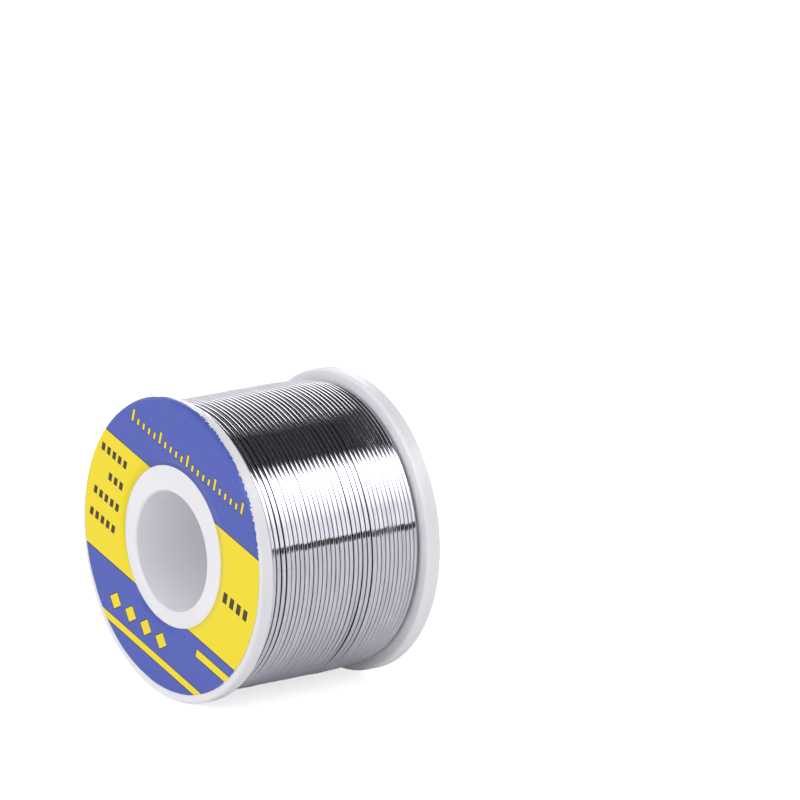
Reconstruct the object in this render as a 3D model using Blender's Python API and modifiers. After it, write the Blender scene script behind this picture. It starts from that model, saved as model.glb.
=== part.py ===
"""A small spool of solder wire, lying on the rims of its two flanges.

Metres, +Z up. The spool's axis is level and runs along Y, the front flange faces -Y, and the origin is on
the bench midway between the flanges, under the axis. Every piece is drawn about a Z axis and hangs on one
empty, spool_axis, which lays that axis along +Y. Angles about it run from +X down towards the bench.
"""

import math

import bpy
from mathutils import Vector

# Moulded bobbin, in two halves that lap inside the hub
FLANGE_RADIUS = 0.0230
FLANGE_THICKNESS = 0.0025
SPOOL_WIDTH = 0.0330
RIM_ROUND = 0.0005
BORE_RADIUS = 0.0091
MOUTH_ROUND = 0.0004
HUB_RADIUS = 0.0110
ROOT_ROUND = 0.0008
LAP_RADIUS = 0.01005
LAP_LENGTH = 0.0040

# Labels, stuck on the flange faces
LABEL_OUTER_RADIUS = 0.0224
LABEL_INNER_RADIUS = 0.0123
LABEL_THICKNESS = 0.00015
LABEL_GAP = 0.00015
FRONT_LABEL_SHIFT = (0.00024, 0.00084)
REAR_LABEL_SHIFT = (-0.0002, 0.0003)

# Solder wire: the buried layers are one core, and the outer layer is wound on it turn by turn
WIRE_RADIUS = 0.0004
OUTER_TURNS = 22
POINTS_PER_TURN = 24
LAYER_RADIUS = 0.02155
REAR_FALL = 0.0009
FALL_START = 0.0060
DIVE_BEND = 0.0010
DIVE_BEND_STEPS = 4
DIVE_ANGLE = math.radians(200.0)
NOTCH_RUN = 0.0025
CORE_STEPS = 8

# Paper tab that holds the wire's end down
TAB_WIDTH = 0.0120
TAB_ARC = math.radians(56.0)
TAB_CENTRE_ANGLE = math.radians(168.0)
TAB_THICKNESS = 0.00015
TAB_COLUMNS = 14
TAB_TIP_SHARE = 0.25
TAB_TAPER = 3.0

# Clearance between pieces that rest on each other
FIT_GAP = 0.0003
TAB_GAP = 0.0002

# Flats round each turned piece. One flat of the rim lies on the bench.
RIM_FLATS = 74
CORE_FLATS = 50
LABEL_FLATS = 62
EDGE_STEPS = 3

AXIS_HEIGHT = FLANGE_RADIUS * math.cos(math.pi / RIM_FLATS)
HALF_WIDTH = SPOOL_WIDTH / 2.0
FLANGE_INNER = HALF_WIDTH - FLANGE_THICKNESS
LAYER_HALF_WIDTH = FLANGE_INNER - FIT_GAP - WIRE_RADIUS
CORE_HALF_WIDTH = FLANGE_INNER - FIT_GAP
TAB_INNER_RADIUS = LAYER_RADIUS + WIRE_RADIUS + TAB_GAP

PLASTIC_WHITE = (233, 233, 238)
LABEL_BLUE = (88, 103, 185)
SOLDER_GREY = (186, 186, 194)
PAPER_WHITE = (224, 223, 218)


def clear_scene():
    for obj in list(bpy.data.objects):
        bpy.data.objects.remove(obj, do_unlink=True)


def new_collection(name):
    collection = bpy.data.collections.new(name)
    bpy.context.scene.collection.children.link(collection)
    return collection


def linear(colour):
    """Turn an 8-bit sRGB colour into linear values."""
    shares = [value / 255.0 for value in colour]
    return tuple(s / 12.92 if s <= 0.04045 else ((s + 0.055) / 1.055) ** 2.4 for s in shares)


def finish(name, colour, roughness, metallic=0.0):
    material = bpy.data.materials.new(name)
    material.use_nodes = True
    shader = material.node_tree.nodes["Principled BSDF"]
    shader.inputs["Base Color"].default_value = (*linear(colour), 1.0)
    shader.inputs["Roughness"].default_value = roughness
    shader.inputs["Metallic"].default_value = metallic
    return material


def arc(centre, radius, start_deg, end_deg):
    """Points (r, z) along an arc of a profile, both ends included."""
    points = []
    for step in range(EDGE_STEPS + 1):
        angle = math.radians(start_deg + (end_deg - start_deg) * step / EDGE_STEPS)
        points.append((centre[0] + radius * math.cos(angle), centre[1] + radius * math.sin(angle)))
    return points


def place(obj, collection, parent, material):
    collection.objects.link(obj)
    obj.parent = parent
    obj.data.materials.append(material)
    return obj


def turned(name, profile, flats, collection, parent, material):
    """Turn a closed profile of (r, z) points about Z. Its outer side runs from top to bottom."""
    mesh = bpy.data.meshes.new(name)
    edges = [(i, (i + 1) % len(profile)) for i in range(len(profile))]
    mesh.from_pydata([(r, 0.0, z) for r, z in profile], edges, [])
    obj = place(bpy.data.objects.new(name, mesh), collection, parent, material)
    screw = obj.modifiers.new("Turn", "SCREW")
    screw.steps = flats
    screw.render_steps = flats
    screw.use_merge_vertices = True
    screw.merge_threshold = 1e-6
    screw.use_smooth_shade = True
    obj.modifiers.new("Flat faces stay flat", "WEIGHTED_NORMAL")
    return obj


def moulded_half(name, side, hub_end, collection, parent, material):
    """One half of the bobbin: a flange with a rounded rim, the bore's mouth and a hub that laps the other's.

    The profile is drawn with the flange at the bottom. side is -1 for the front half and 1 for the rear
    half, which is the same drawing turned end for end.
    """
    face = -HALF_WIDTH
    rim = FLANGE_RADIUS - RIM_ROUND
    rim_top = arc((rim, -FLANGE_INNER - RIM_ROUND), RIM_ROUND, 90, 0)
    rim_bottom = arc((rim, face + RIM_ROUND), RIM_ROUND, 0, -90)
    mouth = arc((BORE_RADIUS + MOUTH_ROUND, face + MOUTH_ROUND), MOUTH_ROUND, 270, 180)
    root = arc((HUB_RADIUS + ROOT_ROUND, -FLANGE_INNER + ROOT_ROUND), ROOT_ROUND, 180, 270)
    profile = rim_top + rim_bottom + mouth + hub_end + root
    obj = turned(name, profile, RIM_FLATS, collection, parent, material)
    if side > 0:
        obj.rotation_euler.x = math.pi
    return obj


def spigot_end():
    """Hub end of the front half: the bore's wall runs on past the middle as a thin spigot."""
    tip = LAP_LENGTH
    shoulder = -FIT_GAP / 2.0
    outside = LAP_RADIUS - FIT_GAP / 2.0
    return [(BORE_RADIUS, tip), (outside, tip), (outside, shoulder), (HUB_RADIUS, shoulder)]


def socket_end():
    """Hub end of the rear half: a thin sleeve that takes the spigot."""
    seat = -LAP_LENGTH - FIT_GAP
    lip = -FIT_GAP / 2.0
    inside = LAP_RADIUS + FIT_GAP / 2.0
    return [(BORE_RADIUS, seat), (inside, seat), (inside, lip), (HUB_RADIUS, lip)]


def ring_label(name, side, shift, collection, parent, material):
    """A flat ring of label stock on a flange face, shifted sideways and upwards as it was stuck on."""
    near = HALF_WIDTH + LABEL_GAP
    far = near + LABEL_THICKNESS
    profile = [
        (LABEL_OUTER_RADIUS, far),
        (LABEL_OUTER_RADIUS, near),
        (LABEL_INNER_RADIUS, near),
        (LABEL_INNER_RADIUS, far),
    ]
    obj = turned(name, profile, LABEL_FLATS, collection, parent, material)
    obj.location = (shift[0], -shift[1], 0.0)
    if side < 0:
        obj.rotation_euler.x = math.pi
    return obj


def layer_radius(z):
    """Radius of the outer layer's centreline, which is level from the front and falls towards the rear."""
    share = max(0.0, (z - FALL_START) / (LAYER_HALF_WIDTH - FALL_START))
    return LAYER_RADIUS - REAR_FALL * share * share


def core_radius(z):
    """Radius that clears the flats of the layer wound over it."""
    return layer_radius(z) * math.cos(math.pi / POINTS_PER_TURN) - WIRE_RADIUS - FIT_GAP


def inner_layers(collection, cutters, parent, material):
    """The buried layers as one core, with a notch at each end where the wire climbs out of them."""
    heights = [CORE_HALF_WIDTH * (1.0 - 2.0 * step / CORE_STEPS) for step in range(CORE_STEPS + 1)]
    outside = [(core_radius(z), z) for z in heights]
    inside_radius = HUB_RADIUS + FIT_GAP
    chamfer = ROOT_ROUND
    inside = [
        (inside_radius + chamfer, -CORE_HALF_WIDTH),
        (inside_radius, -CORE_HALF_WIDTH + chamfer),
        (inside_radius, CORE_HALF_WIDTH - chamfer),
        (inside_radius + chamfer, CORE_HALF_WIDTH),
    ]
    core = turned("solder_inner_layers", outside + inside, CORE_FLATS, collection, parent, material)
    for side, word in ((1.0, "rear"), (-1.0, "front")):
        notch = climb_notch(word, side, cutters, parent, material)
        cut = core.modifiers.new(f"{word}_notch", "BOOLEAN")
        cut.operation = "DIFFERENCE"
        cut.solver = "EXACT"
        cut.object = notch
    return core


def dive_foot(side):
    """Radius of the wire's end, where it has dived under its own layer."""
    return layer_radius(side * LAYER_HALF_WIDTH) - DIVE_BEND - 2.0 * WIRE_RADIUS


def climb_notch(word, side, cutters, parent, material):
    """Cutter for the room that the diving end takes at one edge of the core."""
    room = WIRE_RADIUS + FIT_GAP
    bottom = dive_foot(side) - FIT_GAP
    length = 2.0 * room + NOTCH_RUN
    depth = LAYER_RADIUS - bottom
    width = 2.0 * room
    along = side * (length / 2.0 - room)
    bpy.ops.mesh.primitive_cube_add(size=1.0)
    notch = bpy.context.object
    notch.name = f"{word}_climb_notch"
    for collection in list(notch.users_collection):
        collection.objects.unlink(notch)
    place(notch, cutters, parent, material)
    outward = Vector((math.cos(DIVE_ANGLE), math.sin(DIVE_ANGLE), 0.0))
    forward = Vector((-outward.y, outward.x, 0.0))
    notch.location = outward * (bottom + depth / 2.0) + forward * along
    notch.location.z = side * LAYER_HALF_WIDTH
    notch.rotation_euler.z = DIVE_ANGLE
    notch.scale = (depth, length, width)
    notch.hide_render = True
    notch.display_type = "WIRE"
    return notch


def dive(side):
    """Points from a wire end, straight out of its notch and round a bend onto the layer, by (t, r)."""
    centre_r = layer_radius(side * LAYER_HALF_WIDTH) - DIVE_BEND
    points = [(0.0, dive_foot(side))]
    for step in range(DIVE_BEND_STEPS + 1):
        angle = math.pi / 2.0 * step / DIVE_BEND_STEPS
        points.append((DIVE_BEND * (1.0 - math.cos(angle)), centre_r + DIVE_BEND * math.sin(angle)))
    outward = Vector((math.cos(DIVE_ANGLE), math.sin(DIVE_ANGLE), 0.0))
    forward = Vector((-outward.y, outward.x, 0.0))
    lift = Vector((0.0, 0.0, side * LAYER_HALF_WIDTH))
    return [outward * r + forward * (side * t) + lift for t, r in points]


def outer_layer_route():
    """Centreline of the outer layer, from the rear end's dive to the front end's."""
    count = OUTER_TURNS * POINTS_PER_TURN
    helix = []
    for step in range(1, count):
        share = step / count
        angle = DIVE_ANGLE + 2.0 * math.pi * OUTER_TURNS * share
        z = LAYER_HALF_WIDTH * (1.0 - 2.0 * share)
        radius = layer_radius(z)
        helix.append(Vector((radius * math.cos(angle), radius * math.sin(angle), z)))
    return dive(1.0) + helix + list(reversed(dive(-1.0)))


def least_gap(route):
    """Smallest free space between stretches of the wire that are more than half a turn apart."""
    skip = POINTS_PER_TURN // 2
    nearest = min(
        (route[i] - route[j]).length
        for i in range(len(route))
        for j in range(i + skip, min(i + 3 * POINTS_PER_TURN, len(route)))
    )
    return nearest - 2.0 * WIRE_RADIUS


def outer_layer(collection, parent, material):
    """The layer that shows, as one unbroken wire."""
    route = outer_layer_route()
    curve = bpy.data.curves.new("solder_outer_layer", "CURVE")
    curve.dimensions = "3D"
    curve.bevel_depth = WIRE_RADIUS
    curve.bevel_resolution = 1
    curve.use_fill_caps = True
    spline = curve.splines.new("POLY")
    spline.points.add(len(route) - 1)
    for point, position in zip(spline.points, route):
        point.co = (*position, 1.0)
    print(f"outer layer: {OUTER_TURNS} turns, least gap to itself {least_gap(route) * 1000.0:.3f} mm")
    return place(bpy.data.objects.new("solder_outer_layer", curve), collection, parent, material)


def end_tab(collection, parent, material):
    """A slip of paper bent over the turns, with one end cut to a point."""
    mesh = bpy.data.meshes.new("end_tab")
    half = TAB_WIDTH / 2.0
    rows = (-half, 0.0, half)
    radius = TAB_INNER_RADIUS / math.cos(TAB_ARC / TAB_COLUMNS / 2.0)
    points = []
    for column in range(TAB_COLUMNS + 1):
        share = column / TAB_COLUMNS
        angle = TAB_CENTRE_ANGLE + TAB_ARC * (share - 0.5)
        taper = min(1.0, TAB_TIP_SHARE + TAB_TAPER * share)
        points += [(radius * math.cos(angle), radius * math.sin(angle), row * taper) for row in rows]
    width = len(rows)
    faces = []
    for column in range(TAB_COLUMNS):
        for row in range(width - 1):
            first = column * width + row
            faces.append((first, first + width, first + width + 1, first + 1))
    mesh.from_pydata(points, [], faces)
    tab = place(bpy.data.objects.new("end_tab", mesh), collection, parent, material)
    solid = tab.modifiers.new("Thickness", "SOLIDIFY")
    solid.thickness = TAB_THICKNESS
    solid.offset = 1.0
    return tab


def build():
    clear_scene()
    parts = new_collection("solder_wire_spool")
    cutters = new_collection("cutters")

    axis = bpy.data.objects.new("spool_axis", None)
    parts.objects.link(axis)
    axis.location = (0.0, 0.0, AXIS_HEIGHT)
    axis.rotation_euler = (-math.pi / 2.0, 0.0, 0.0)

    plastic = finish("white_moulding", PLASTIC_WHITE, 0.38)
    print_stock = finish("label_stock", LABEL_BLUE, 0.45)
    solder = finish("solder", SOLDER_GREY, 0.22, metallic=1.0)
    paper = finish("tab_paper", PAPER_WHITE, 0.85)

    moulded_half("front_half", -1, spigot_end(), parts, axis, plastic)
    moulded_half("rear_half", 1, socket_end(), parts, axis, plastic)
    ring_label("front_label", -1, FRONT_LABEL_SHIFT, parts, axis, print_stock)
    ring_label("rear_label", 1, REAR_LABEL_SHIFT, parts, axis, print_stock)
    inner_layers(parts, cutters, axis, solder)
    outer_layer(parts, axis, solder)
    end_tab(parts, axis, paper)


build()
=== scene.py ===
"""The looks of a small spool of solder wire, lying on the rims of its two flanges.

Metres, +Z up. The spool's axis is level and runs along Y at the height of the flange radius, the labelled
front flange faces -Y, and the origin is on the bench midway between the flanges. Angles about the axis run
from +X up towards +Z.
"""

import logging
import math
from dataclasses import dataclass, field
from enum import Enum
from functools import reduce
from typing import Iterable, Sequence

import bpy
import numpy as np
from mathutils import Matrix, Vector


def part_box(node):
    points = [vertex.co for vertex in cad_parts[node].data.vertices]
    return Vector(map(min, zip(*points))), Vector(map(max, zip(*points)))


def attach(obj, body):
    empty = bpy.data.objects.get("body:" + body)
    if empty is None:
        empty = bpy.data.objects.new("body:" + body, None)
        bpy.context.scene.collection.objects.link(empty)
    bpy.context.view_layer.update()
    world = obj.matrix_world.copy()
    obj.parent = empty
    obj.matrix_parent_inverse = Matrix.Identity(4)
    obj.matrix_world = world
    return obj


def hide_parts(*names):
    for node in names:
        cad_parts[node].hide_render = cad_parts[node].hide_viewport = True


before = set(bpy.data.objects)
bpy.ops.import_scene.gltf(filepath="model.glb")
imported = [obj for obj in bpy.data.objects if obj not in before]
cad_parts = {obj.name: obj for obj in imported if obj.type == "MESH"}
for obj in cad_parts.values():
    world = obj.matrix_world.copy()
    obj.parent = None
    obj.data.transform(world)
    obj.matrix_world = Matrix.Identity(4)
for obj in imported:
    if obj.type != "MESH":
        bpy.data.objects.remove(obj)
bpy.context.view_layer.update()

log = logging.getLogger("solder_spool")

MM = 0.001
ROOT = "root"
Point2 = tuple[float, float]
Span = tuple[float, float]
Band = tuple[float, float, float]
Colour = tuple[int, int, int]
Object = bpy.types.Object
Material = bpy.types.Material
Socket = bpy.types.NodeSocket
Value = float | Socket

NOISE_SPAN: Span = (0.3, 0.7)
SLANT_SHARE = 0.7
NESTING = math.sin(math.radians(60.0))


class Slot(Enum):
    """The record's material slots."""

    MOULDING = "white_moulding"
    LABEL = "label_stock"
    SOLDER = "solder"
    PAPER = "tab_paper"


class Side(Enum):
    """Which end of the spool a piece is on, as the sign of its outward Y."""

    FRONT = -1.0
    REAR = 1.0

    @property
    def word(self) -> str:
        """The end's name, as the pieces carry it."""
        return self.name.lower()


def linear(colour: Colour) -> tuple[float, float, float, float]:
    """Turn an 8-bit sRGB colour into linear values.

    Args:
        colour: Red, green and blue from 0 to 255.

    Returns:
        The linear colour, with an alpha of 1.
    """
    shares = [value / 255.0 for value in colour]
    red, green, blue = (s / 12.92 if s <= 0.04045 else ((s + 0.055) / 1.055) ** 2.4 for s in shares)
    return red, green, blue, 1.0


def arc(centre: Point2, radius: float, start_deg: float, end_deg: float, steps: int) -> list[Point2]:
    """Points along an arc of a profile, both ends included.

    Args:
        centre: The arc's centre, as (r, y).
        radius: The arc's radius.
        start_deg: Where it starts, in degrees from +r towards +y.
        end_deg: Where it ends.
        steps: Number of straight steps.

    Returns:
        The points, as (r, y).
    """
    angles = np.radians(np.linspace(start_deg, end_deg, steps + 1))
    return [(centre[0] + radius * math.cos(a), centre[1] + radius * math.sin(a)) for a in angles]


def smooth_step(share: np.ndarray | float) -> np.ndarray:
    """Ease from 0 to 1 as share goes from 0 to 1, and hold outside."""
    held = np.clip(share, 0.0, 1.0)
    return held * held * (3.0 - 2.0 * held)


@dataclass(frozen=True)
class SpoolFrame:
    """Where the spool lies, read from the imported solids."""

    axis_height: float
    half_width: float
    flange_inner: float

    @classmethod
    def measured(cls) -> "SpoolFrame":
        """Measure the two moulded halves and the core between them.

        Returns:
            The frame that every piece is placed in.
        """
        front_low, front_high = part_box("front_half")
        core_low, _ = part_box("solder_inner_layers")
        clearance = 0.3 * MM
        return cls((front_low.z + front_high.z) / 2.0, -front_low.y, -core_low.y + clearance)

    def at(self, radius: np.ndarray, angle: np.ndarray, y: np.ndarray) -> np.ndarray:
        """Turn cylindrical places about the spool's axis into points.

        Args:
            radius: Distances from the axis.
            angle: Angles about it in radians, from +X towards +Z.
            y: Places along it.

        Returns:
            The points, one row each.
        """
        x = radius * np.cos(angle)
        z = self.axis_height + radius * np.sin(angle)
        return np.stack([x, y + np.zeros_like(x), z], axis=-1)


def mesh_object(name: str, points: np.ndarray, faces: Iterable, smooth_deg: float = 35.0) -> Object:
    """Make an object from points and faces, smooth apart from its sharp edges.

    Args:
        name: The piece's name.
        points: Its points, one row each.
        faces: Its faces, as tuples of point numbers.
        smooth_deg: Edges that turn by more than this stay sharp.

    Returns:
        The object, linked to the scene.
    """
    mesh = bpy.data.meshes.new(name)
    mesh.from_pydata(points.tolist(), [], [tuple(int(i) for i in face) for face in faces])
    mesh.validate()
    mesh.shade_smooth()
    mesh.set_sharp_from_angle(angle=math.radians(smooth_deg))
    obj = bpy.data.objects.new(name, mesh)
    bpy.context.scene.collection.objects.link(obj)
    return obj


def grid_faces(rows: int, columns: int, wrap_rows: bool, wrap_columns: bool) -> list[tuple[int, ...]]:
    """Quads over a grid of points that is stored row by row.

    Args:
        rows: Number of rows of points.
        columns: Number of points in a row.
        wrap_rows: Whether the last row joins the first.
        wrap_columns: Whether a row's last point joins its first.

    Returns:
        The quads, wound the same way round.
    """
    row_ids = np.arange(rows if wrap_rows else rows - 1)
    column_ids = np.arange(columns if wrap_columns else columns - 1)
    row, column = np.meshgrid(row_ids, column_ids, indexing="ij")
    below = (row + 1) % rows
    right = (column + 1) % columns
    quads = [row * columns + column, row * columns + right, below * columns + right, below * columns + column]
    return [tuple(quad) for quad in np.stack(quads, axis=-1).reshape(-1, 4)]


def turned(name: str, spool: SpoolFrame, profile: Sequence[Point2], segments: int) -> Object:
    """Turn a closed profile about the spool's axis.

    Args:
        name: The piece's name.
        spool: The frame that gives the axis.
        profile: The closed outline as (r, y), with its outer side running towards -Y.
        segments: Number of segments round the axis.

    Returns:
        The turned piece.
    """
    angles = np.linspace(2.0 * math.pi, 0.0, segments, endpoint=False)
    radius, along = np.array(profile).T
    points = spool.at(radius[None, :], angles[:, None], along[None, :]).reshape(-1, 3)
    obj = mesh_object(name, points, grid_faces(segments, len(profile), True, True))
    weighted = obj.modifiers.new("Flat faces stay flat", "WEIGHTED_NORMAL")
    weighted.keep_sharp = True
    return obj


def settle(obj: Object, slot: Slot, *nodes: str) -> Object:
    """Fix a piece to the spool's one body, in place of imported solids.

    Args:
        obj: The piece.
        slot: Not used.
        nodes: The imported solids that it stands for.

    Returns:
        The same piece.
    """
    log.info("%s: %d faces", obj.name, len(obj.data.polygons))
    if nodes:
        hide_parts(*nodes)
    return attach(obj, ROOT)


class Graph:
    """The node tree of a new material or world, built up by short calls."""

    def __init__(self, name: str, of_world: bool = False) -> None:
        """Start an empty tree, of a world or of a material, under this name."""
        self.owner = (bpy.data.worlds if of_world else bpy.data.materials).new(name)
        self.owner.use_nodes = True
        self.tree = self.owner.node_tree
        self.tree.nodes.clear()
        self.output = self.node("OutputWorld" if of_world else "OutputMaterial")

    def node(self, kind: str, *values: object, **named: object) -> bpy.types.Node:
        """Add a node.

        Args:
            kind: The node's type, without the leading ShaderNode.
            values: What its first inputs take, in their order.
            named: What its properties and other inputs take, by name with _ for a space.

        Returns:
            The node.
        """
        made = self.tree.nodes.new("ShaderNode" + kind)
        for name, value in named.items():
            socket = made.inputs.get(name.replace("_", " "))
            if socket is None:
                setattr(made, name, value)
            else:
                self.feed(socket, value)
        for socket, value in zip(made.inputs, values):
            self.feed(socket, value)
        return made

    def feed(self, socket: Socket, value: object) -> None:
        """Link a socket to an input, or set the input's own value."""
        if isinstance(value, Socket):
            self.tree.links.new(value, socket)
        else:
            socket.default_value = value

    def shade(self, shader: bpy.types.Node) -> Material | bpy.types.World:
        """End the tree in a shader, and return its material or world."""
        self.feed(self.output.inputs["Surface"], shader.outputs[0])
        return self.owner

    def principled(self, **inputs: object) -> Material:
        """End the tree in a Principled shader, with its inputs by name and _ for a space."""
        return self.shade(self.node("BsdfPrincipled", **inputs))

    def math(self, operation: str, *values: Value) -> Socket:
        """Combine one to three numbers by a math node's operation."""
        return self.node("Math", *values, operation=operation).outputs[0]

    def chain(self, operation: str, *values: Value) -> Value:
        """Combine any number of numbers, two at a time."""
        return reduce(lambda first, second: self.math(operation, first, second), values)

    def off(self, value: Value, centre: Value) -> Socket:
        """How far a value is from a centre, on either side."""
        return self.math("ABSOLUTE", self.math("SUBTRACT", value, centre))

    def hypot(self, x: Value, y: Value) -> Socket:
        """The distance that two steps at right angles cover."""
        return self.math("SQRT", self.math("MULTIPLY_ADD", x, x, self.math("MULTIPLY", y, y)))

    def bearing(self, rise: Value, run: Value) -> Socket:
        """The angle of a rise over a run, in degrees."""
        return self.math("DEGREES", self.math("ARCTAN2", rise, run))

    def ramp(self, value: Value, span: Span, to: Span = (0.0, 1.0)) -> Socket:
        """Ease from one number to another as a value crosses a span.

        Args:
            value: What is followed.
            span: Where the easing starts and ends.
            to: The results there.

        Returns:
            The result's socket.
        """
        return self.node("MapRange", value, *span, *to, interpolation_type="SMOOTHSTEP").outputs["Result"]

    def below(self, value: Value, limit: float, soft: float) -> Socket:
        """One below a limit, falling to 0 over soft above it."""
        return self.ramp(value, (limit, limit + soft), (1.0, 0.0))

    def within(self, value: Value, centre: float, half: float, soft: float) -> Socket:
        """One where a value is within half of centre, falling to 0 over soft beyond it."""
        return self.below(self.off(value, centre), half, soft)

    def blend(self, share: Value, first: Colour | Socket, second: Colour | Socket) -> Socket:
        """Mix two colours, by how much of the second there is, from 0 to 1."""
        made = self.node("Mix", share, data_type="RGBA")
        for place, colour in ((6, first), (7, second)):
            self.feed(made.inputs[place], linear(colour) if isinstance(colour, tuple) else colour)
        return made.outputs[2]

    def position(self, kind: str = "Object") -> tuple[Socket, ...]:
        """The place on the piece in metres, or another texture coordinate, as separate X, Y and Z."""
        return tuple(self.node("SeparateXYZ", self.node("TexCoord").outputs[kind]).outputs)

    def vector(self, x: Value, y: Value, z: Value) -> Socket:
        """Three numbers as one vector."""
        return self.node("CombineXYZ", x, y, z).outputs[0]

    def noise(self, scale: float, detail: float = 2.0, vector: Socket | None = None) -> Socket:
        """Noise from about 0 to 1.

        Args:
            scale: Its scale, in features per unit.
            detail: Its octaves.
            vector: Where it is read, or None for the piece's own metres.

        Returns:
            The noise's socket.
        """
        if vector is None:
            vector = self.node("TexCoord").outputs["Object"]
        return self.node("TexNoise", Vector=vector, Scale=scale, Detail=detail).outputs["Fac"]

    def bump(self, height: Socket, depth: float, under: Socket | None = None) -> Socket:
        """A bump from a height map.

        Args:
            height: The height, from 0 to 1.
            depth: How deep that is, in metres.
            under: The normal that it is added to, if any.

        Returns:
            The normal's socket.
        """
        made = self.node("Bump", Strength=1.0, Distance=depth, Height=height)
        if under is not None:
            self.feed(made.inputs["Normal"], under)
        return made.outputs["Normal"]


@dataclass(frozen=True)
class MouldedPlastic:
    """White moulded plastic with a soft gloss and faint flow marks."""

    colour: Colour = (241, 240, 245)
    shade: Colour = (236, 235, 241)
    roughness: float = 0.34
    scuff_roughness: float = 0.12
    ior: float = 1.47
    flow_scale: float = 90.0
    flow_span: Span = (0.35, 0.65)
    grain_scale: float = 5200.0
    grain_depth: float = 0.0012 * MM
    scuff_scale: float = 700.0
    scuff_span: Span = (0.55, 0.75)

    def material(self) -> Material:
        """Build the material."""
        graph = Graph("white_moulding")
        flow = graph.ramp(graph.noise(self.flow_scale, 3.0), self.flow_span)
        colour = graph.blend(flow, self.colour, self.shade)
        scuffs = graph.ramp(graph.noise(self.scuff_scale, 4.0), self.scuff_span)
        roughness = graph.math("MULTIPLY_ADD", scuffs, self.scuff_roughness, self.roughness)
        normal = graph.bump(graph.noise(self.grain_scale), self.grain_depth)
        return graph.principled(Base_Color=colour, Roughness=roughness, Normal=normal, IOR=self.ior)


@dataclass(frozen=True)
class CutPaper:
    """The white edge of cut label stock."""

    colour: Colour = (238, 238, 240)
    shade: Colour = (222, 221, 224)
    roughness: float = 0.8
    fibre_scale: float = 9000.0

    def material(self) -> Material:
        """Build the material."""
        graph = Graph("cut_label_edge")
        fibres = graph.noise(self.fibre_scale, 3.0)
        colour = graph.blend(fibres, self.shade, self.colour)
        return graph.principled(Base_Color=colour, Roughness=self.roughness)


@dataclass(frozen=True)
class Bar:
    """A printed bar along the band, in millimetres: its middle, half its height and where it starts."""

    rise: float
    half: float
    start: float = -30.0

    def distance(self, graph: Graph, rise: Value, run: Value) -> Socket:
        """Distance from the bar's edge, negative inside it."""
        across = graph.math("SUBTRACT", graph.off(rise, self.rise * MM), self.half * MM)
        return graph.math("MAXIMUM", across, graph.math("SUBTRACT", self.start * MM, run))


@dataclass(frozen=True)
class MarkRow:
    """A row of like printed marks along the band, all of them whole, in millimetres.

    Attributes:
        start: Where the first mark's cell begins.
        rise: The row's middle, square to the band.
        count: Number of marks.
        pitch: From mark to mark.
        half: Half of a mark's width and height.
        pointed: Whether the marks are lozenges and not bars.
    """

    start: float
    rise: float
    count: int
    pitch: float
    half: Point2
    pointed: bool = False

    def distance(self, graph: Graph, rise: Value, run: Value) -> Socket:
        """Distance from the nearest mark's edge.

        Args:
            graph: The material's nodes.
            rise: Distance from the axis, square to the band.
            run: Distance from the axis, along the band.

        Returns:
            The distance's socket, negative inside a mark.
        """
        pitch = self.pitch * MM
        start = self.start * MM
        width, height = self.half[0] * MM, self.half[1] * MM
        cell = graph.math("FLOOR", graph.math("DIVIDE", graph.math("SUBTRACT", run, start), pitch))
        cell = graph.math("MINIMUM", graph.math("MAXIMUM", cell, 0.0), self.count - 1.0)
        along = graph.off(run, graph.math("MULTIPLY_ADD", cell, pitch, start + pitch / 2.0))
        across = graph.off(rise, self.rise * MM)
        if self.pointed:
            share = graph.math("DIVIDE", along, width)
            share = graph.math("ADD", share, graph.math("DIVIDE", across, height))
            past = graph.math("SUBTRACT", share, 1.0)
            return graph.math("MULTIPLY", past, SLANT_SHARE * min(width, height))
        past = graph.math("SUBTRACT", along, width)
        return graph.math("MAXIMUM", past, graph.math("SUBTRACT", across, height))


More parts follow.
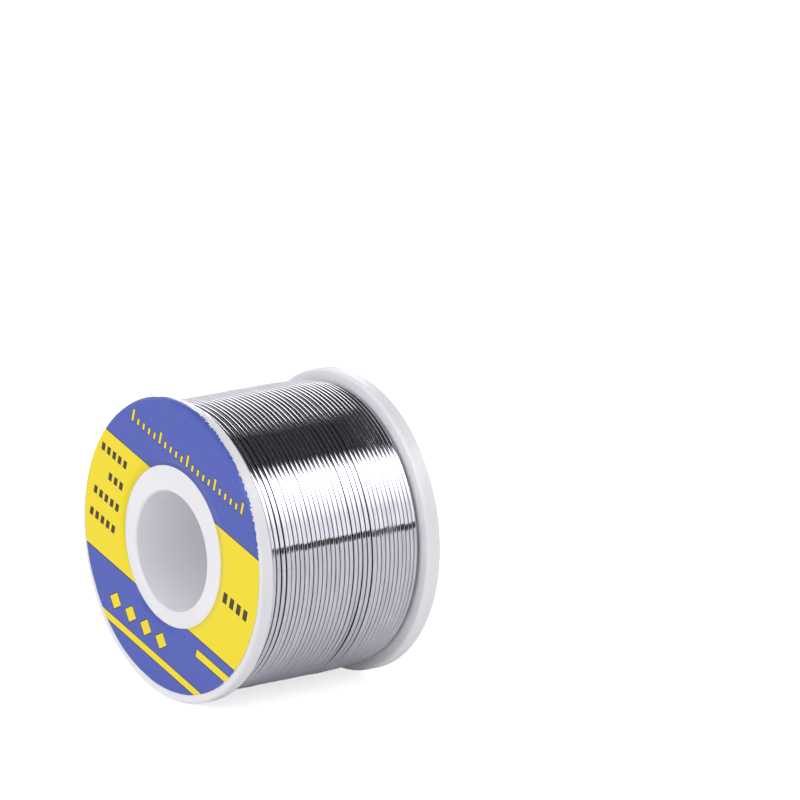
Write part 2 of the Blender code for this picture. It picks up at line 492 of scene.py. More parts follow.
@dataclass(frozen=True)
class PrintedLabel:
    """Blue label stock with a slanting yellow band, plain bars, a scale of ticks and rows of marks."""

    spool: SpoolFrame
    side: Side
    centre: Point2
    blue: Colour = (76, 93, 185)
    yellow: Colour = (248, 225, 22)
    keyline: Colour = (62, 44, 88)
    brown: Colour = (66, 46, 34)
    paper: Colour = (236, 236, 240)
    slant_deg: float = 16.95
    band_centre: float = 0.33 * MM
    band_half: float = 9.63 * MM
    keyline_half: float = 0.07 * MM
    light: tuple[Bar | MarkRow, ...] = (
        Bar(-17.63, 0.54),
        Bar(-11.6, 0.60, 10.4),
        MarkRow(-15.2, 15.05, 21, 1.45, (0.22, 0.50)),
        MarkRow(-18.1, 15.48, 5, 7.25, (0.22, 0.93)),
        MarkRow(-12.6, -14.43, 4, 4.1, (1.45, 1.35), True),
    )
    dark: tuple[MarkRow, ...] = (
        MarkRow(-20.8, 7.00, 5, 1.45, (0.42, 0.62)),
        MarkRow(-17.9, 3.30, 3, 1.45, (0.42, 0.62)),
        MarkRow(-20.8, -0.40, 5, 1.45, (0.42, 0.62)),
        MarkRow(-20.8, -4.10, 5, 1.45, (0.42, 0.62)),
        MarkRow(13.7, 0.17, 4, 1.75, (0.50, 0.85)),
    )
    soft: float = 0.03 * MM
    ink_gaps: float = 0.015
    roughness: Span = (0.30, 0.42)
    specular: float = 0.3
    wave_depth: float = 0.02 * MM
    grain_depth: float = 0.0015 * MM
    edge_radius: float = 22.4 * MM
    edge_worn: float = 0.30 * MM
    wear: float = 0.34
    wear_lean: Span = (-4.0 * MM, 14.0 * MM)
    wear_cut: Span = (0.78, 0.86)

    def material(self) -> Material:
        """Build the material."""
        graph = Graph(f"{self.side.word}_label_print")
        x, _, z = graph.position()
        across = graph.math("MULTIPLY", x, -self.side.value)
        up = graph.math("SUBTRACT", z, self.spool.axis_height)
        slant = math.radians(self.slant_deg)
        rise = self._turned(graph, across, up, math.sin(slant), math.cos(slant))
        run = self._turned(graph, across, up, math.cos(slant), -math.sin(slant))
        colour = graph.blend(self._worn(graph, across, up), self._print(graph, rise, run), self.paper)
        roughness = graph.ramp(graph.noise(scale=420.0, detail=3.0), NOISE_SPAN, self.roughness)
        waves = graph.bump(graph.noise(scale=260.0), self.wave_depth)
        normal = graph.bump(graph.noise(scale=7000.0), self.grain_depth, waves)
        return graph.principled(
            Base_Color=colour, Roughness=roughness, Normal=normal, Specular_IOR_Level=self.specular
        )

    @staticmethod
    def _turned(graph: Graph, across: Value, up: Value, first: float, second: float) -> Socket:
        """The part of a place that lies along one direction."""
        return graph.math("MULTIPLY_ADD", across, first, graph.math("MULTIPLY", up, second))

    def _print(self, graph: Graph, rise: Value, run: Value) -> Socket:
        """The printed colour.

        Args:
            graph: The material's nodes.
            rise: Distance from the axis, square to the band.
            run: Distance from the axis, along the band.

        Returns:
            The colour's socket.
        """
        ink = graph.ramp(graph.noise(scale=1500.0, detail=3.0), NOISE_SPAN, (0.0, self.ink_gaps))
        blue = graph.blend(ink, self.blue, self.paper)
        yellow = graph.blend(ink, self.yellow, self.paper)
        line = self.keyline_half
        band = graph.within(rise, self.band_centre, self.band_half, self.soft)
        colour = graph.blend(band, blue, yellow)
        for edge in (self.band_centre - self.band_half, self.band_centre + self.band_half):
            colour = graph.blend(graph.within(rise, edge, line, self.soft), colour, self.keyline)
        light = self._nearest(graph, self.light, rise, run)
        colour = graph.blend(graph.below(light, 2.0 * line, self.soft), colour, self.keyline)
        colour = graph.blend(graph.below(light, 0.0, self.soft), colour, yellow)
        dark = self._nearest(graph, self.dark, rise, run)
        return graph.blend(graph.below(dark, 0.0, self.soft), colour, self.brown)

    @staticmethod
    def _nearest(graph: Graph, shapes: Sequence[Bar | MarkRow], rise: Value, run: Value) -> Value:
        """Distance from the nearest of some printed shapes, negative inside one."""
        return graph.chain("MINIMUM", *(shape.distance(graph, rise, run) for shape in shapes))

    def _worn(self, graph: Graph, across: Value, up: Value) -> Socket:
        """Mask of the nibbled print along the label's outer edge, most of it on the winding's side.

        Args:
            graph: The material's nodes.
            across: Distance from the axis, level.
            up: Height over the axis.

        Returns:
            The mask's socket, 1 where the print is gone.
        """
        off_x = graph.math("SUBTRACT", across, self.centre[0])
        off_z = graph.math("SUBTRACT", up, self.centre[1])
        edge = (self.edge_radius - self.edge_worn, self.edge_radius)
        near = graph.ramp(graph.hypot(off_x, off_z), edge, (0.0, self.wear))
        lean = graph.ramp(across, self.wear_lean, (0.25, 1.0))
        speckle = graph.noise(scale=2600.0, detail=4.0)
        return graph.ramp(graph.math("MULTIPLY_ADD", near, lean, speckle), self.wear_cut)


@dataclass(frozen=True)
class DrawnSolder:
    """Bright drawn tin-lead wire: fine lines along it, patches of flux haze, and painted shade in the grooves
    between turns.
    """

    winding: "Winding"
    bright: Colour = (208, 208, 216)
    dull: Colour = (188, 188, 198)
    # Painted shade: the colour the wire darkens to deep between the turns, where they shade each other.
    painted_groove_shade: Colour = (104, 104, 115)
    groove_shade_depth: Span = (0.13 * MM, 0.33 * MM)
    line_across: float = 5200.0
    line_along: float = 5.0
    line_depth: float = 0.0015 * MM
    roughness: Span = (0.035, 0.08)
    roughness_span: Span = (0.3, 0.75)
    haze_rough: float = 0.09
    haze_scale: float = 160.0
    haze_span: Span = (0.56, 0.74)

    def _depth(self, graph: Graph, radius: Value, y: Value) -> Socket:
        """How far a point lies below the ridges of the outer turns.

        Args:
            graph: The material's nodes.
            radius: Distance from the axis.
            y: Place along it.

        Returns:
            The depth's socket.
        """
        wound = self.winding
        span = wound.spool.flange_inner - wound.wire_radius - wound.fall_start
        share = graph.math("MULTIPLY_ADD", y, 1.0 / span, -wound.fall_start / span)
        share = graph.math("MINIMUM", graph.math("MAXIMUM", share, 0.0), 1.0)
        fall = graph.chain("MULTIPLY", share, share, wound.rear_fall)
        ridge = graph.math("SUBTRACT", wound.layer_radius + wound.wire_radius, fall)
        return graph.math("SUBTRACT", ridge, radius)

    def material(self) -> Material:
        """Build the material."""
        graph = Graph("drawn_solder")
        x, y, z = graph.position()
        up = graph.math("SUBTRACT", z, self.winding.spool.axis_height)
        radius = graph.hypot(x, up)
        lines_at = graph.vector(
            graph.math("MULTIPLY", graph.math("ARCTAN2", up, x), self.line_along),
            graph.math("MULTIPLY", y, self.line_across),
            graph.math("MULTIPLY", radius, self.line_across),
        )
        lines = graph.noise(1.0, 3.0, lines_at)
        colour = graph.blend(graph.ramp(lines, NOISE_SPAN), self.dull, self.bright)
        # Painted shade: the base colour darkens towards the groove colour the deeper a point lies between the
        # turns.
        groove_shade_share = graph.ramp(self._depth(graph, radius, y), self.groove_shade_depth)
        colour = graph.blend(groove_shade_share, colour, self.painted_groove_shade)
        roughness = graph.ramp(lines, self.roughness_span, self.roughness)
        haze = graph.ramp(graph.noise(self.haze_scale, 3.0), self.haze_span)
        roughness = graph.math("MULTIPLY_ADD", haze, self.haze_rough, roughness)
        normal = graph.bump(lines, self.line_depth)
        return graph.principled(Base_Color=colour, Metallic=1.0, Roughness=roughness, Normal=normal)


@dataclass(frozen=True)
class FluxResin:
    """Amber resin in the cut end of the wire."""

    colour: Colour = (196, 148, 70)
    shade: Colour = (158, 108, 44)
    roughness: float = 0.3
    cloud_scale: float = 4000.0

    def material(self) -> Material:
        """Build the material."""
        graph = Graph("flux_resin")
        colour = graph.blend(graph.noise(self.cloud_scale), self.colour, self.shade)
        return graph.principled(Base_Color=colour, Roughness=self.roughness)


@dataclass(frozen=True)
class TabPaper:
    """Matt white paper with soft fibres."""

    colour: Colour = (232, 231, 228)
    shade: Colour = (218, 216, 210)
    roughness: float = 0.85
    fibre_scale: float = 2600.0
    fibre_depth: float = 0.012 * MM
    cloud_scale: float = 300.0
    cloud_span: Span = (0.12, 0.4)

    def material(self) -> Material:
        """Build the material."""
        graph = Graph("tab_paper")
        fibres = graph.noise(self.fibre_scale, 4.0)
        mix = graph.math("MULTIPLY", fibres, graph.noise(self.cloud_scale))
        colour = graph.blend(graph.ramp(mix, self.cloud_span), self.shade, self.colour)
        normal = graph.bump(fibres, self.fibre_depth)
        return graph.principled(Base_Color=colour, Roughness=self.roughness, Normal=normal)


@dataclass
class Bobbin:
    """The moulded bobbin: two flanges, each with its half of the hub."""

    spool: SpoolFrame
    rim_round: float = 0.5 * MM
    bore_radius: float = 9.1 * MM
    mouth_round: float = 0.4 * MM
    hub_radius: float = 11.0 * MM
    root_round: float = 0.8 * MM
    web_span: float = 4.0 * MM
    lap_radius: float = 10.05 * MM
    lap_length: float = 4.0 * MM
    seam: float = 0.05 * MM
    seam_round: float = 0.08 * MM
    parting_half: float = 0.06 * MM
    parting_height: float = 0.025 * MM
    segments: int = 224
    arc_steps: int = 10
    pieces: list[Object] = field(default_factory=list)

    def build(self) -> None:
        """Turn both halves."""
        for side in Side:
            obj = turned(f"{side.word}_moulding", self.spool, self._profile(side), self.segments)
            settle(obj, Slot.MOULDING, f"{side.word}_half")
            self.pieces.append(obj)

    def dress(self, finish: MouldedPlastic) -> None:
        """Give both halves their plastic."""
        material = finish.material()
        for obj in self.pieces:
            obj.data.materials.append(material)

    def _profile(self, side: Side) -> list[Point2]:
        """Outline of one half.

        Args:
            side: Which half.

        Returns:
            The closed outline as (r, y), its outer side running towards -Y.
        """
        spool = self.spool
        rim = spool.axis_height - self.rim_round
        face = -spool.half_width
        inner = -spool.flange_inner
        steps = self.arc_steps
        outline = arc((rim, inner - self.rim_round), self.rim_round, 90, 0, steps)
        outline += self._parting_line((face + inner) / 2.0)
        outline += arc((rim, face + self.rim_round), self.rim_round, 0, -90, steps)
        mouth_centre = (self.bore_radius + self.mouth_round, face + self.mouth_round)
        outline += arc(mouth_centre, self.mouth_round, 270, 180, steps)
        outline += self._spigot() if side is Side.FRONT else self._socket()
        root_centre = (self.hub_radius + self.root_round, inner + self.root_round)
        outline += arc(root_centre, self.root_round, 180, 270, steps // 2)
        outline += [(self.hub_radius + self.web_span, inner)]
        if side is Side.FRONT:
            return outline
        return [(r, -y) for r, y in reversed(outline)]

    def _parting_line(self, middle: float) -> list[Point2]:
        """The hairline ridge that the mould's joint leaves round the rim, between two shallow grooves."""
        top = self.spool.axis_height
        low = top - self.parting_height
        half = self.parting_half
        return [
            (top, middle + 3.0 * half),
            (low, middle + half),
            (top, middle),
            (low, middle - half),
            (top, middle - 3.0 * half),
        ]

    def _spigot(self) -> list[Point2]:
        """Hub end of the front half: the bore's wall runs on as a thin spigot."""
        tip = self.lap_length
        outside = self.lap_radius - self.seam / 2.0
        shoulder = -self.seam / 2.0
        corner = self.seam_round
        return [
            (self.bore_radius, tip - corner),
            (self.bore_radius + corner, tip),
            (outside - corner, tip),
            (outside, tip - corner),
            (outside, shoulder),
            (self.hub_radius, shoulder),
        ]

    def _socket(self) -> list[Point2]:
        """Hub end of the rear half, drawn turned end for end: a thin sleeve that takes the spigot."""
        seat = -self.lap_length - self.seam
        inside = self.lap_radius + self.seam / 2.0
        lip = -self.seam / 2.0
        corner = self.seam_round
        return [
            (self.bore_radius, seat - corner),
            (self.bore_radius + corner, seat),
            (inside, seat),
            (inside, lip),
            (self.hub_radius, lip),
        ]


@dataclass
class RingLabel:
    """One printed ring, stuck on a flange a little off its centre."""

    spool: SpoolFrame
    side: Side
    centre: Point2
    outer_radius: float = 22.4 * MM
    inner_radius: float = 12.3 * MM
    hole_shift: float = 0.36 * MM
    thickness: float = 0.07 * MM
    lift: float = 0.01 * MM
    rim_round: float = 0.5 * MM
    droop_share: float = 1.2
    cut_waves: tuple[int, ...] = (5, 9, 17, 31)
    cut_wave_size: float = 0.07 * MM
    cut_seed: int = 4
    rings: int = 22
    ring_crowding: float = 0.6
    segments: int = 360
    piece: Object | None = None

    def build(self) -> None:
        """Lay the ring on its flange, and bend it down where it overhangs the rim."""
        spread = np.linspace(0.0, 1.0, self.rings)[:, None] ** self.ring_crowding
        turn = np.linspace(2.0 * math.pi, 0.0, self.segments, endpoint=False)[None, :]
        outer = self.outer_radius + self._cut_waves(turn)
        reach = self.inner_radius + (outer - self.inner_radius) * spread
        shift = self.centre[0] + self.hole_shift * (1.0 - spread)
        across = shift + reach * np.cos(turn)
        up = self.centre[1] + reach * np.sin(turn)
        off_face = self.lift + self.thickness - self._droop(np.hypot(across, up))
        outward = self.side.value
        x = -outward * across
        y = outward * (self.spool.half_width + off_face)
        points = np.stack([x, y, up + self.spool.axis_height], axis=-1).reshape(-1, 3)
        faces = grid_faces(self.rings, self.segments, False, True)
        obj = mesh_object(f"{self.side.word}_ring_label", points, faces)
        solid = obj.modifiers.new("Stock", "SOLIDIFY")
        solid.thickness = self.thickness
        solid.offset = -1.0
        solid.material_offset_rim = 1
        self.piece = settle(obj, Slot.LABEL, f"{self.side.word}_label")

    def dress(self, printed: PrintedLabel, edge: CutPaper) -> None:
        """Print the ring, and leave its cut edge bare."""
        self.piece.data.materials.append(printed.material())
        self.piece.data.materials.append(edge.material())

    def _cut_waves(self, turn: np.ndarray) -> np.ndarray:
        """How far the cut edge strays from a true circle."""
        random = np.random.default_rng(self.cut_seed)
        phases = random.uniform(0.0, 2.0 * math.pi, len(self.cut_waves))
        waves = [np.sin(pace * turn + phase) / pace**0.5 for pace, phase in zip(self.cut_waves, phases)]
        return self.cut_wave_size * sum(waves)

    def _droop(self, radius: np.ndarray) -> np.ndarray:
        """How far the stock hangs back over the rounded rim."""
        over = np.clip(radius - (self.spool.axis_height - self.rim_round), 0.0, None)
        return self.droop_share * over * over / (2.0 * self.rim_round)


@dataclass(frozen=True)
class Slack:
    """A place where the winding leaves a gap between two turns.

    Attributes:
        turn: Where it opens, in turns from the rear flange.
        width: How wide it gets.
        ease: Turns over which it opens.
    """

    turn: float
    width: float
    ease: float = 0.3


@dataclass(frozen=True)
class Swell:
    """A stretch where the wire stands off its layer, or sinks into it.

    Attributes:
        turn: Its middle, in turns from the rear flange.
        height: How far it stands off, negative where it sinks.
        length: Half its length, in turns.
    """

    turn: float
    height: float
    length: float = 0.35


@dataclass
class Winding:
    """The wire: one unbroken outer layer with its free end laid over it, and the buried layers."""

    spool: SpoolFrame
    wire_radius: float = 0.4 * MM
    layer_radius: float = 21.58 * MM
    rear_fall: float = 0.75 * MM
    fall_start: float = 6.0 * MM
    front_fall: float = 0.12 * MM
    front_fall_start: float = -12.4 * MM
    rear_angle: float = math.radians(160.0)
    turns: float = 32.667
    steps_per_turn: int = 132
    sides: int = 14
    rear_margin: float = 0.10 * MM
    lead_turns: float = 0.04
    lead_sink: float = 1.6
    wobble_rings: tuple[int, ...] = (2, 3, 5, 8, 13)
    wobble_size: float = 0.014 * MM
    wobble_detune: Span = (0.15, 0.85)
    wobble_change: float = 0.37
    wobble_seed: int = 11
    slack: tuple[Slack, ...] = (
        Slack(10.67, 0.11 * MM),
        Slack(11.67, 0.06 * MM),
        Slack(12.67, 0.06 * MM),
        Slack(14.67, 0.08 * MM),
        Slack(16.67, 0.05 * MM),
        Slack(23.67, 0.04 * MM),
        Slack(27.67, 0.04 * MM),
        Slack(29.67, 0.12 * MM),
        Slack(30.67, 0.12 * MM),
    )
    swells: tuple[Swell, ...] = (
        Swell(4.2, 0.05 * MM),
        Swell(10.6, 0.06 * MM),
        Swell(13.54, -0.17 * MM, 0.07),
        Swell(17.2, 0.07 * MM),
        Swell(25.6, 0.05 * MM),
        Swell(29.4, 0.05 * MM),
    )
    end_sweep: float = math.radians(122.0)
    end_rest: float = -3.2 * MM
    end_crossing: float = 0.85
    end_climb: float = math.radians(26.0)
    end_bedding: float = 1.97
    resin_share: float = 0.36
    core_gap: float = 0.08 * MM
    core_bore: float = 11.12 * MM
    core_chamfer: float = 1.0 * MM
    core_segments: int = 108
    ridge_bend: float = 65.0
    ridge_steps: int = 5
    pieces: list[Object] = field(default_factory=list)
    free_end: np.ndarray | None = None

    def centre_radius(self, y: np.ndarray) -> np.ndarray:
        """Radius of the outer layer's centreline at a place along the axis."""
        reach = self.spool.flange_inner - self.wire_radius
        rear = np.clip((y - self.fall_start) / (reach - self.fall_start), 0.0, 1.0)
        front = np.clip((self.front_fall_start - y) / (reach + self.front_fall_start), 0.0, 1.0)
        return self.layer_radius - self.rear_fall * rear * rear - self.front_fall * front * front

    def build(self) -> None:
        """Wind the outer layer and the buried layers under it."""
        wire = settle(self._tube("wound_wire", self._route()), Slot.SOLDER, "solder_outer_layer")
        core = settle(self._buried_layers(), Slot.SOLDER, "solder_inner_layers")
        self.pieces = [wire, core]

    def dress(self, solder: DrawnSolder, resin: FluxResin) -> None:
        """Give the wire its metal, and its cut end the resin core."""
        metal = solder.material()
        for obj in self.pieces:
            obj.data.materials.append(metal)
        self.pieces[0].data.materials.append(resin.material())

    def _route(self) -> np.ndarray:
        """Centreline of the outer layer and its free end, from the rear flange to the cut end."""
        count = int(self.turns * self.steps_per_turn)
        turn = np.linspace(0.0, self.turns, count)
        angle = self.rear_angle - 2.0 * math.pi * turn
        y = self._along(turn)
        radius = self.centre_radius(y) + self._wobble(turn, angle)
        lead_in = smooth_step(turn / self.lead_turns)
        radius -= self.lead_sink * self.wire_radius * (1.0 - lead_in)
        wound = self.spool.at(radius, angle, y)
        self.free_end = self._free_end(angle[-1], y[-1], radius[-1])
        return np.concatenate([wound, self.free_end])

    def _along(self, turn: np.ndarray) -> np.ndarray:
        """Place along the axis after some turns from the rear flange."""
        start = self.spool.flange_inner - self.wire_radius - self.rear_margin
        y = start - 2.0 * self.wire_radius * turn
        for gap in self.slack:
            y = y - gap.width * smooth_step((turn - gap.turn) / gap.ease)
        return y

    def _wobble(self, turn: np.ndarray, angle: np.ndarray) -> np.ndarray:
        """How far the wire stands off its layer: slow waves that change from turn to turn, and the swells.

        Args:
            turn: Places on the wire, in turns from the rear flange.
            angle: Their angles about the axis.

        Returns:
            How far the wire stands off at each of them.
        """
        random = np.random.default_rng(self.wobble_seed)
        total = np.zeros_like(turn)
        for ring in self.wobble_rings:
            phase, drift = random.uniform(0.0, 2.0 * math.pi, 2)
            pace = ring + random.uniform(*self.wobble_detune)
            wave = np.sin(pace * angle + phase) * np.sin(self.wobble_change * turn + drift)
            total += wave * self.wobble_size / math.sqrt(ring)
        for swell in self.swells:
            total += swell.height * np.exp(-(((turn - swell.turn) / swell.length) ** 2))
        return total

    def _free_end(self, angle: float, y: float, radius: float) -> np.ndarray:
        """The last of the wire, which climbs on the layer and crosses it to the paper tab.

        Args:
            angle: Where the layer ends, about the axis.
            y: Where it ends, along the axis.
            radius: The layer's radius there.

        Returns:
            The centreline's points.
        """
        count = int(self.end_sweep / (2.0 * math.pi) * self.steps_per_turn)
        share = np.linspace(0.0, 1.0, count + 1)[1:]
        swept = share * self.end_sweep
        along = y + (self.end_rest - y) * smooth_step(share / self.end_crossing)
        climb = smooth_step(swept / self.end_climb)
        on_top = self.centre_radius(along) + self.end_bedding * self.wire_radius
        height = radius * (1.0 - climb) + on_top * climb
        return self.spool.at(height, angle - swept, along)

    def _tube(self, name: str, route: np.ndarray) -> Object:
        """Sweep the wire's round section along its route, with a flat cap at each end.

        Args:
            name: The piece's name.
            route: The centreline's points.

        Returns:
            The wire. The middle of its caps takes the second material.
        """
        tangents = np.gradient(route, axis=0)
        tangents /= np.linalg.norm(tangents, axis=1)[:, None]
        out = np.empty_like(route)
        normal = route[0] - np.array([0.0, route[0][1], self.spool.axis_height])
        for i, tangent in enumerate(tangents):
            normal = normal - tangent * (normal @ tangent)
            normal /= np.linalg.norm(normal)
            out[i] = normal
        side = np.cross(tangents, out)
        around = np.linspace(0.0, 2.0 * math.pi, self.sides, endpoint=False)[None, :, None]
        ring = np.cos(around) * out[:, None, :] + np.sin(around) * side[:, None, :]
        points = (route[:, None, :] + self.wire_radius * ring).reshape(-1, 3)
        caps = [route[i] + self.wire_radius * self.resin_share * ring[i] for i in (0, -1)]
        faces = grid_faces(len(route), self.sides, False, True)
        first = len(points)
        last_ring = first - self.sides
        for start, ring_start, flip in ((first, 0, True), (first + self.sides, last_ring, False)):
            for i in range(self.sides):
                j = (i + 1) % self.sides
                quad = (ring_start + i, ring_start + j, start + j, start + i)
                faces.append(quad[::-1] if flip else quad)
            disc = tuple(range(start, start + self.sides))
            faces.append(disc[::-1] if flip else disc)
        obj = mesh_object(name, np.concatenate([points, *caps]), faces, 60.0)
        for polygon in obj.data.polygons:
            if len(polygon.vertices) == self.sides:
                polygon.material_index = 1
        return obj

    def _buried_layers(self) -> Object:
        """The buried layers as one turned core, with the ridge of each of their turns."""
        pitch = 2.0 * self.wire_radius
        reach = self.spool.flange_inner - self.core_gap
        outside: list[Point2] = []
        for ridge in range(int(2.0 * reach / pitch)):
            middle = reach - pitch * (ridge + 0.5)
            base = float(self.centre_radius(np.array(middle))) - pitch * NESTING
            bend = self.ridge_bend
            outside += arc((base, middle), self.wire_radius, bend, -bend, self.ridge_steps)
        cut = self.core_chamfer
        inside = [(self.core_bore, -reach + cut), (self.core_bore, reach - cut)]
        foot = [(outside[-1][0] - cut, -reach), (self.core_bore + cut, -reach)]
        head = [(self.core_bore + cut, reach), (outside[0][0] - cut, reach)]
        return turned("buried_layers", self.spool, outside + foot + inside + head, self.core_segments)


@dataclass(frozen=True)
class Ripple:
    """One wave of a torn edge."""

    size: float
    pace: float
    phase: float = 0.0

    @staticmethod
    def total(waves: Sequence["Ripple"], place: np.ndarray) -> np.ndarray:
        """What some waves come to at places along the edge."""
        return sum(wave.size * np.sin(wave.pace * place + wave.phase) for wave in waves)


@dataclass
class PaperTab:
    """The slip of paper that holds the wire's free end down on the turns."""

    spool: SpoolFrame
    winding: Winding
    centre_angle: float = math.radians(-168.0)
    sweep: float = math.radians(56.0)
    width: float = 12.0 * MM
    tip_share: float = 0.25
    taper: float = 3.0
    thickness: float = 0.11 * MM
    lift: float = 0.03 * MM
    sag: float = 0.035 * MM
    tent: float = 1.5 * MM
    tent_flat: float = 0.45
    side_ripples: tuple[Ripple, ...] = (Ripple(0.12 * MM, 31.0, 1.0), Ripple(0.07 * MM, 77.0))
    end_ripples: tuple[Ripple, ...] = (Ripple(0.012, 9.0, 0.6), Ripple(0.006, 23.0))
    end_powers: tuple[int, int] = (8, 12)
    corner_lift: float = 0.35 * MM
    corner_powers: tuple[int, int] = (10, 6)
    columns: int = 84
    rows: int = 72
    piece: Object | None = None

    def build(self) -> None:
        """Lay the slip over the turns and over the wire's free end."""
        share = np.linspace(0.0, 1.0, self.columns)[:, None]
        spread = np.linspace(-1.0, 1.0, self.rows)[None, :]
        half = self.width / 2.0 * np.minimum(1.0, self.tip_share + self.taper * share)
        y = (half + Ripple.total(self.side_ripples, share)) * spread
        square_end, tip = self.end_powers
        torn = share**square_end + 0.5 * (1.0 - share) ** tip
        sweep = self.centre_angle - self.sweep * (share - 0.5) - torn * Ripple.total(self.end_ripples, spread)
        radius = self._rest_radius(sweep, y) + self._lifted_corners(share, spread)
        points = self.spool.at(radius, sweep, y).reshape(-1, 3)
        obj = mesh_object("paper_tab", points, grid_faces(self.columns, self.rows, False, False), 80.0)
        solid = obj.modifiers.new("Paper", "SOLIDIFY")
        solid.thickness = self.thickness
        solid.offset = 1.0
        self.piece = settle(obj, Slot.PAPER, "end_tab")

    def dress(self, finish: TabPaper) -> None:
        """Give the slip its paper."""
        self.piece.data.materials.append(finish.material())

    def _rest_radius(self, angle: np.ndarray, y: np.ndarray) -> np.ndarray:
        """Radius at which the slip rests: on the ridges, dipping between them, and over the free end.

        Args:
            angle: Angles of the slip's points.
            y: Their places along the axis.

        Returns:
            The radius of each point's underside.
        """
        winding = self.winding
        end_route = winding.free_end
        wire = winding.wire_radius
        dip = 0.5 - 0.5 * np.cos(2.0 * math.pi * y / (2.0 * wire))
        top = winding.centre_radius(y) + wire + self.lift - self.sag * dip
        route_angle = np.unwrap(np.arctan2(end_route[:, 2] - self.spool.axis_height, end_route[:, 0]))
        order = np.argsort(route_angle)
        route_angle = route_angle[order]
        wrapped = angle + 2.0 * math.pi * np.round((route_angle.mean() - angle) / (2.0 * math.pi))
        off = np.abs(y - np.interp(wrapped, route_angle, end_route[order, 1]))
        return top + 2.0 * wire * (1.0 - smooth_step((off - self.tent_flat * wire) / self.tent))

    def _lifted_corners(self, share: np.ndarray, spread: np.ndarray) -> np.ndarray:
        """How far the slip's two square corners curl up."""
        along, across = self.corner_powers
        return self.corner_lift * share**along * np.abs(spread) ** across


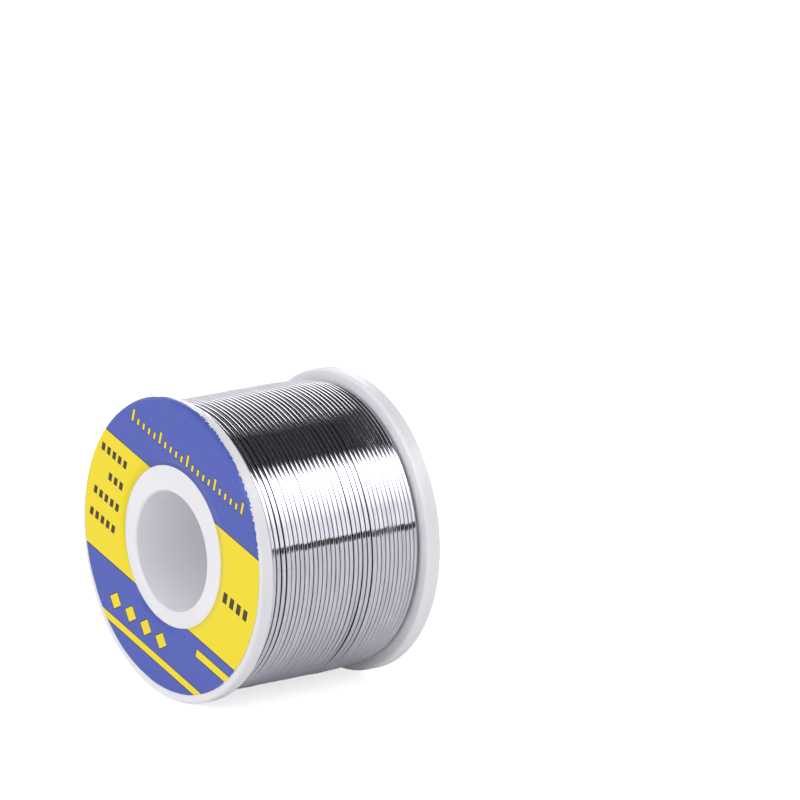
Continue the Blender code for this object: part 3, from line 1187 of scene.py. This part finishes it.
@dataclass(frozen=True)
class Studio:
    """The pale floor, the white world and the panels that the bright metal reflects.

    The panels run along the spool. Their long edges are given by the facing angle, at which the wire mirrors
    them, about the spool's axis. Other edges go by the turn about Z or the lift over the floor. All are in
    degrees. A band is its middle, half its width and the softness of its edges.

    Attributes:
        floor_white: What the camera sees the floor at, over 1 so that the shadow stays pale.
        mirrored_white: What metal and glass see the floor at.
        world_front: How much brighter the world is towards -Y.
        aim: The X and Z parts of the direction of the viewpoint.
    """

    floor_radius: float = 1.1
    floor_albedo: float = 0.96
    floor_white: float = 1.52
    mirrored_white: float = 1.0
    world_level: float = 0.86
    world_front: float = 0.36
    dome_radius: float = 1.6
    dome_foot: float = -4.0
    aim: Point2 = (0.7795, 0.2477)
    box_turn: Band = (-17.5, 92.5, 3.0)
    box_past_sides: Span = (24.0, 28.0)
    box_side_level: float = 0.5
    box_foot: Span = (11.9, 12.3)
    box_top: Span = (35.0, 41.5)
    box_top_slope: float = 0.035
    box_top_drop: float = 2.1
    box_rise: Span = (19.0, 40.0)
    box_levels: Span = (1.42, 6.0)
    back_gap: Band = (3.75, 113.75, 2.0)
    back_foot: Span = (59.5, 61.5)
    back_top: Span = (38.0, 42.0)
    back_rise: Span = (-2.0, 12.0)
    back_levels: Span = (0.7, 1.05)
    lamp_turn: Band = (131.0, 16.0, 4.0)
    lamp_lift: Span = (14.0, 23.0)
    lamp_level: float = 3.0
    backdrop_top: Span = (9.3, 9.8)
    backdrop_level: float = 1.08
    roof_level: float = 0.07

    def build(self) -> None:
        """Lay the floor, hang the panels and light the world."""
        self._floor()
        self._panels()
        self._world()
        log.info("studio: floor, reflection panels and world")

    def _floor(self) -> None:
        """A round white floor: paper white outside the shadow, to the camera and in metal and glass."""
        angles = np.linspace(0.0, 2.0 * math.pi, 96, endpoint=False)
        rim = np.stack([np.cos(angles), np.sin(angles), 0.0 * angles], axis=-1) * self.floor_radius
        obj = mesh_object("floor", rim, [tuple(range(len(angles)))])
        graph = Graph("floor_white")
        ray = graph.node("LightPath").outputs
        mirrored = graph.math("MAXIMUM", ray["Is Glossy Ray"], ray["Is Transmission Ray"])
        gain = self.mirrored_white / self.world_level - self.floor_albedo
        paper = graph.node("BsdfDiffuse", Color=graph.math("MULTIPLY_ADD", mirrored, gain, self.floor_albedo))
        missing = self.floor_white - self.floor_albedo * self.world_level
        glow = graph.node("Emission", Strength=graph.math("MULTIPLY", ray["Is Camera Ray"], missing))
        both = graph.node("AddShader", paper.outputs[0], glow.outputs[0])
        obj.data.materials.append(graph.shade(both))

    def _panels(self) -> None:
        """Panels on a dome, which only reflections see."""
        rows, columns = 40, 96
        lift = np.radians(np.linspace(self.dome_foot, 90.0, rows))[:, None]
        turn = np.linspace(0.0, 2.0 * math.pi, columns, endpoint=False)[None, :]
        x = np.cos(lift) * np.cos(turn)
        y = np.cos(lift) * np.sin(turn)
        z = np.sin(lift) + 0.0 * y
        points = np.stack([x, y, z], axis=-1).reshape(-1, 3) * self.dome_radius
        obj = mesh_object("reflection_panels", points, grid_faces(rows, columns, False, True))
        for ray in ("camera", "diffuse", "transmission", "volume_scatter", "shadow"):
            setattr(obj, f"visible_{ray}", False)
        obj.data.materials.append(self._panel_light())

    def _panel_light(self) -> Material:
        """Light of the panels: softbox, back panel, low backdrop with a dark slit over it, and dark roof."""
        graph = Graph("panel_light")
        graph.owner.cycles.emission_sampling = "NONE"
        x, y, z = graph.position()
        turn = graph.bearing(y, x)
        lift = graph.bearing(z, graph.hypot(x, y))
        half_x = graph.math("ADD", x, self.aim[0] * self.dome_radius)
        half_z = graph.math("ADD", z, self.aim[1] * self.dome_radius)
        facing = graph.bearing(half_z, half_x)
        level = graph.chain(
            "MAXIMUM",
            self._softbox(graph, turn, facing),
            self._back_panel(graph, lift, turn, facing),
            graph.ramp(facing, self.backdrop_top, (self.backdrop_level, 0.0)),
            self.roof_level,
        )
        return graph.shade(graph.node("Emission", Strength=level))

    def _softbox(self, graph: Graph, turn: Value, facing: Value) -> Value:
        """Level of the softbox on the +X side, which brightens towards its slanting top edge.

        Args:
            graph: The material's nodes.
            turn: The direction's turn about Z.
            facing: Its facing angle.

        Returns:
            The level.
        """
        past_sides = graph.ramp(facing, self.box_past_sides, (self.box_side_level, 1.0))
        sides = graph.math("MAXIMUM", graph.within(turn, *self.box_turn), past_sides)
        top_line = graph.math("SUBTRACT", facing, self.box_top_drop)
        top_line = graph.math("MULTIPLY_ADD", turn, self.box_top_slope, top_line)
        foot = graph.ramp(facing, self.box_foot)
        top = graph.ramp(top_line, self.box_top, (1.0, 0.0))
        return graph.chain("MULTIPLY", sides, foot, top, graph.ramp(facing, self.box_rise, self.box_levels))

    def _back_panel(self, graph: Graph, lift: Value, turn: Value, facing: Value) -> Value:
        """Level of the pale panel at the back, with a lamp in it.

        Args:
            graph: The material's nodes.
            lift: The direction's lift over the floor.
            turn: Its turn about Z.
            facing: Its facing angle.

        Returns:
            The level.
        """
        sides = graph.math("SUBTRACT", 1.0, graph.within(turn, *self.back_gap))
        lamp = graph.math("MULTIPLY", graph.within(turn, *self.lamp_turn), graph.ramp(lift, self.lamp_lift))
        pale = graph.ramp(lift, self.back_rise, self.back_levels)
        level = graph.math("MULTIPLY_ADD", lamp, self.lamp_level, pale)
        foot = graph.ramp(facing, self.back_foot)
        return graph.chain("MULTIPLY", sides, foot, graph.ramp(lift, self.back_top, (1.0, 0.0)), level)

    def _world(self) -> None:
        """A white world, brighter from the front, and paper white to the camera and in metal and glass."""
        graph = Graph("white_studio", of_world=True)
        _, y, _ = graph.position("Generated")
        level = graph.math("MULTIPLY_ADD", y, -self.world_front, self.world_level)
        ray = graph.node("LightPath").outputs
        seen = (ray[kind] for kind in ("Is Camera Ray", "Is Glossy Ray", "Is Transmission Ray"))
        strength = graph.chain("MAXIMUM", level, *seen)
        world = graph.shade(graph.node("Background", Color=(1.0, 1.0, 1.0, 1.0), Strength=strength))
        world.cycles.sampling_method = "NONE"
        bpy.context.scene.world = world
        bpy.context.scene.view_settings.view_transform = "Standard"


@dataclass(frozen=True)
class Viewpoint:
    """The long lens that the spool is seen through, by its place round the spool."""

    spool: SpoolFrame
    turn_deg: float = 53.57
    lift_deg: float = 14.34
    distance: float = 1.50006
    right: float = 0.020761
    up: float = 0.020053
    lens_mm: float = 451.93
    sensor_mm: float = 36.0

    def build(self) -> None:
        """Place the camera."""
        turn = math.radians(self.turn_deg)
        lift = math.radians(self.lift_deg)
        back = Vector((math.sin(turn) * math.cos(lift), -math.cos(turn) * math.cos(lift), math.sin(lift)))
        right = Vector((math.cos(turn), math.sin(turn), 0.0))
        up = back.cross(right)
        data = bpy.data.cameras.new("viewpoint")
        data.sensor_width = self.sensor_mm
        data.lens = self.lens_mm
        data.clip_start = 0.1
        data.clip_end = 20.0
        camera = bpy.data.objects.new("viewpoint", data)
        bpy.context.scene.collection.objects.link(camera)
        middle = Vector((0.0, 0.0, self.spool.axis_height))
        camera.location = middle + back * self.distance + right * self.right + up * self.up
        camera.rotation_mode = "QUATERNION"
        camera.rotation_quaternion = (-back).to_track_quat("-Z", "Y")
        bpy.context.scene.camera = camera
        log.info("viewpoint: %.1f degrees round, %.1f up", self.turn_deg, self.lift_deg)


def main() -> None:
    """Build and dress every piece."""
    logging.basicConfig(level=logging.INFO, format="%(name)s: %(message)s")
    spool = SpoolFrame.measured()
    Viewpoint(spool).build()
    Studio().build()

    bobbin = Bobbin(spool)
    bobbin.build()
    bobbin.dress(MouldedPlastic())

    edge = CutPaper()
    places = {Side.FRONT: (0.24 * MM, 0.84 * MM), Side.REAR: (0.2 * MM, 0.3 * MM)}
    for side, centre in places.items():
        label = RingLabel(spool, side, centre)
        label.build()
        label.dress(PrintedLabel(spool, side, centre), edge)

    winding = Winding(spool)
    winding.build()
    winding.dress(DrawnSolder(winding), FluxResin())

    tab = PaperTab(spool, winding)
    tab.build()
    tab.dress(TabPaper())


if __name__ == "__main__":
    main()
